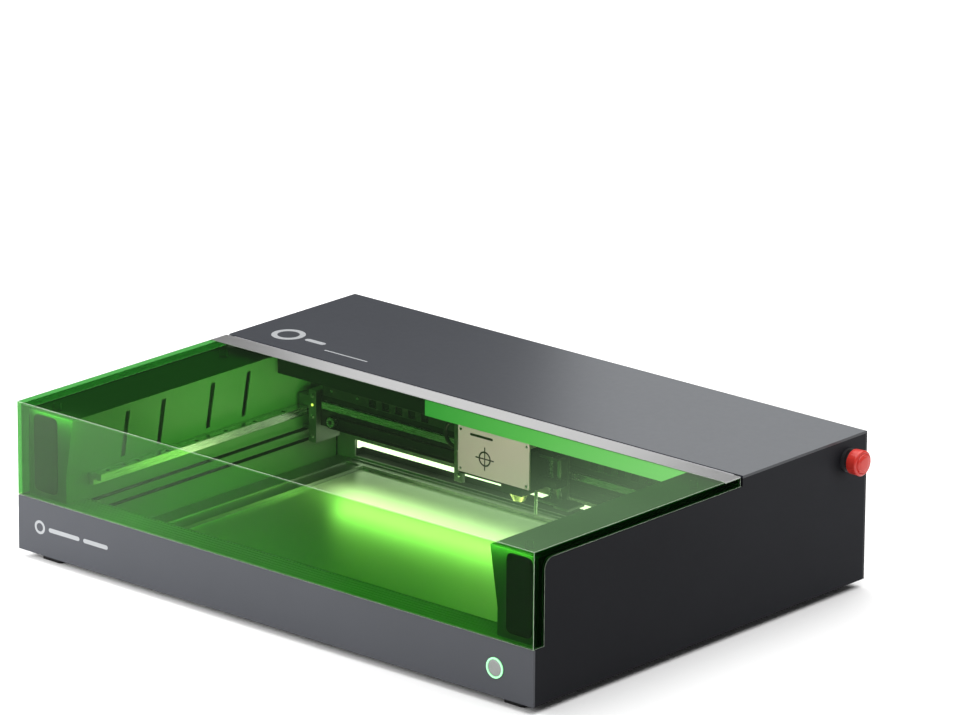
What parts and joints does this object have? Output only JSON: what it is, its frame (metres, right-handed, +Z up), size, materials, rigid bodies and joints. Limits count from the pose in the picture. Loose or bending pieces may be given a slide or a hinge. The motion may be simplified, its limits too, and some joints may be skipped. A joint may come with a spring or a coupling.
{
  "type": "desktop laser cutter",
  "caption": "Enclosed desktop laser cutter with a hinged clear lid, a belt-driven gantry and a focusing laser head over a flat bed.",
  "frame": {"origin": "middle of the whole machine's footprint, at table level, which is the underside of the feet", "axes": "+X to the operator's right, +Y to the rear, +Z up; the lid's front faces -Y"},
  "size_m": [0.789, 0.5822, 0.183],
  "materials": {
    "shell_metal": "satin powder coat, dark grey",
    "hood_metal": "satin powder coat, dark grey",
    "base_metal": "matt powder coat",
    "foot_rubber": "matt",
    "lid_acrylic": "clear green acrylic, polished",
    "strip_aluminium": "brushed",
    "inner_plastic": "fine grain",
    "bed_metal": "satin",
    "light_diffuser": "opal",
    "rail_steel": "ground",
    "belt_rubber": "toothed",
    "motor_black": "matt",
    "bracket_metal": "cast, satin",
    "black_plastic": "moulded",
    "supply_metal": "sheet, satin",
    "circuit_board": "green laminate",
    "estop_red": "semi gloss",
    "button_ring_green": "lit, opal",
    "button_metal": "spun",
    "screw_black": "black oxide",
    "hinge_steel": "satin",
    "beam_aluminium": "black anodised",
    "cover_plate": "warm light grey",
    "sink_aluminium": "black anodised fins",
    "nozzle_metal": "turned",
    "lens_glass": "coated"
  },
  "bodies": {
    "enclosure": {"base_pan": "base_metal", "feet": "foot_rubber", "front_panel": "shell_metal", "left_side_panel": "shell_metal", "right_side_panel": "shell_metal", "rear_panel": "shell_metal", "hood": "hood_metal", "inner_casings": "inner_plastic", "rear_inner_wall": "inner_plastic", "front_sill": "inner_plastic", "bed_frame": "bed_metal", "bed_plate": "bed_metal", "lower_light_bar": "black_plastic", "lower_light_tube": "light_diffuser", "upper_light_bar": "black_plastic", "y_rails": "rail_steel", "y_belts": "belt_rubber", "y_motor": "motor_black", "belt_bearings": "bracket_metal", "exhaust_fan_housing": "black_plastic", "duct_spigot": "black_plastic", "power_supply": "supply_metal", "main_board": "circuit_board", "power_inlet": "black_plastic", "estop_collar": "black_plastic", "button_ring": "button_ring_green", "case_hinge_leaf": "hinge_steel", "hinge_pin": "hinge_steel", "panel_screws": "screw_black", "lid_bumpers": "foot_rubber"},
    "lid": {"lid_shell": "lid_acrylic", "hinge_strip": "strip_aluminium", "lid_hinge_leaf": "hinge_steel"},
    "gantry": {"x_beam": "beam_aluminium", "gantry_end_plates": "bracket_metal", "x_rail": "rail_steel", "x_belt": "belt_rubber", "x_motor": "motor_black", "chain_tray": "black_plastic"},
    "cross_shaft": {"y_cross_shaft": "rail_steel"},
    "front_idlers": {"y_idlers": "rail_steel"},
    "head": {"head_carriage": "bracket_metal", "cable_loop": "belt_rubber", "z_motor": "motor_black", "z_guide_rod": "rail_steel"},
    "drive_pulley": {"x_pulley": "rail_steel"},
    "idler_pulley": {"x_idler": "rail_steel"},
    "laser_module": {"laser_body": "beam_aluminium", "laser_cover": "cover_plate", "heat_sink": "sink_aluminium", "nozzle": "nozzle_metal", "lens": "lens_glass"},
    "lead_screw": {"z_screw": "rail_steel"},
    "probe": {"focus_probe": "rail_steel"},
    "cooling_fan": {"module_fan": "black_plastic"},
    "exhaust_fan": {"exhaust_rotor": "black_plastic"},
    "button": {"power_button": "button_metal"},
    "stop_stem": {"estop_stem": "rail_steel"},
    "stop_cap": {"estop_cap": "estop_red"},
    "rocker": {"rocker_switch": "black_plastic"}
  },
  "joints": [
    {"name": "lid_hinge", "type": "hinge", "parent": "enclosure", "child": "lid", "pos_m": [-0.012, 0.05235, 0.1813], "axis": [-1, 0, 0], "range_deg": [0, 75]},
    {"name": "gantry_slide", "type": "slide", "parent": "enclosure", "child": "gantry", "axis": [0, -1, 0], "range_m": [0, 0.305]},
    {"name": "cross_shaft_spin", "type": "hinge", "parent": "enclosure", "child": "cross_shaft", "pos_m": [-0.012, 0.2086, 0.0635], "axis": [1, 0, 0], "range_deg": [-2918, 2918]},
    {"name": "front_idler_spin", "type": "hinge", "parent": "enclosure", "child": "front_idlers", "pos_m": [-0.012, -0.2374, 0.0635], "axis": [1, 0, 0], "range_deg": [-2918, 2918]},
    {"name": "head_slide", "type": "slide", "parent": "gantry", "child": "head", "axis": [1, 0, 0], "range_m": [-0.226, 0.195]},
    {"name": "drive_pulley_spin", "type": "hinge", "parent": "gantry", "child": "drive_pulley", "pos_m": [0.254, 0.1026, 0.09], "axis": [0, 1, 0], "range_deg": [-2441, 2441]},
    {"name": "idler_pulley_spin", "type": "hinge", "parent": "gantry", "child": "idler_pulley", "pos_m": [-0.278, 0.1026, 0.09], "axis": [0, 1, 0], "range_deg": [-2441, 2441]},
    {"name": "focus_slide", "type": "slide", "parent": "head", "child": "laser_module", "axis": [0, 0, 1], "range_m": [-0.015, 0.003]},
    {"name": "lead_screw_spin", "type": "hinge", "parent": "head", "child": "lead_screw", "pos_m": [0.07, 0.0856, 0.108], "axis": [0, 0, 1], "range_deg": [-680, 680]},
    {"name": "probe_slide", "type": "slide", "parent": "laser_module", "child": "probe", "axis": [0, 0, 1], "range_m": [-0.01, 0]},
    {"name": "cooling_fan_spin", "type": "hinge", "parent": "laser_module", "child": "cooling_fan", "pos_m": [0.006, 0.0776, 0.142], "axis": [0, 0, 1], "continuous": true},
    {"name": "exhaust_fan_spin", "type": "hinge", "parent": "enclosure", "child": "exhaust_fan", "pos_m": [-0.227, 0.2541, 0.105], "axis": [0, 1, 0], "continuous": true},
    {"name": "power_button_press", "type": "slide", "parent": "enclosure", "child": "button", "axis": [0, 1, 0], "range_m": [0, 0.002], "stiffness_N_per_m": 800, "springref_m": -0.001},
    {"name": "stop_press", "type": "slide", "parent": "enclosure", "child": "stop_stem", "axis": [-1, 0, 0], "range_m": [0, 0.004]},
    {"name": "stop_twist", "type": "hinge", "parent": "stop_stem", "child": "stop_cap", "pos_m": [0.388, 0.2376, 0.157], "axis": [1, 0, 0], "range_deg": [0, 45], "stiffness_Nm_per_rad": 0.05, "springref_deg": -11.46},
    {"name": "rocker_tilt", "type": "hinge", "parent": "enclosure", "child": "rocker", "pos_m": [0.203, 0.2676, 0.0645], "axis": [1, 0, 0], "range_deg": [0, 20]}
  ],
  "couplings": [
    {"joint": "cross_shaft_spin", "follows": "gantry_slide", "rad_per_m": 166.67},
    {"joint": "front_idler_spin", "follows": "gantry_slide", "rad_per_m": 166.67},
    {"joint": "drive_pulley_spin", "follows": "head_slide", "rad_per_m": 166.67},
    {"joint": "idler_pulley_spin", "follows": "head_slide", "rad_per_m": 166.67},
    {"joint": "lead_screw_spin", "follows": "focus_slide", "rad_per_m": 785.4}
  ]
}
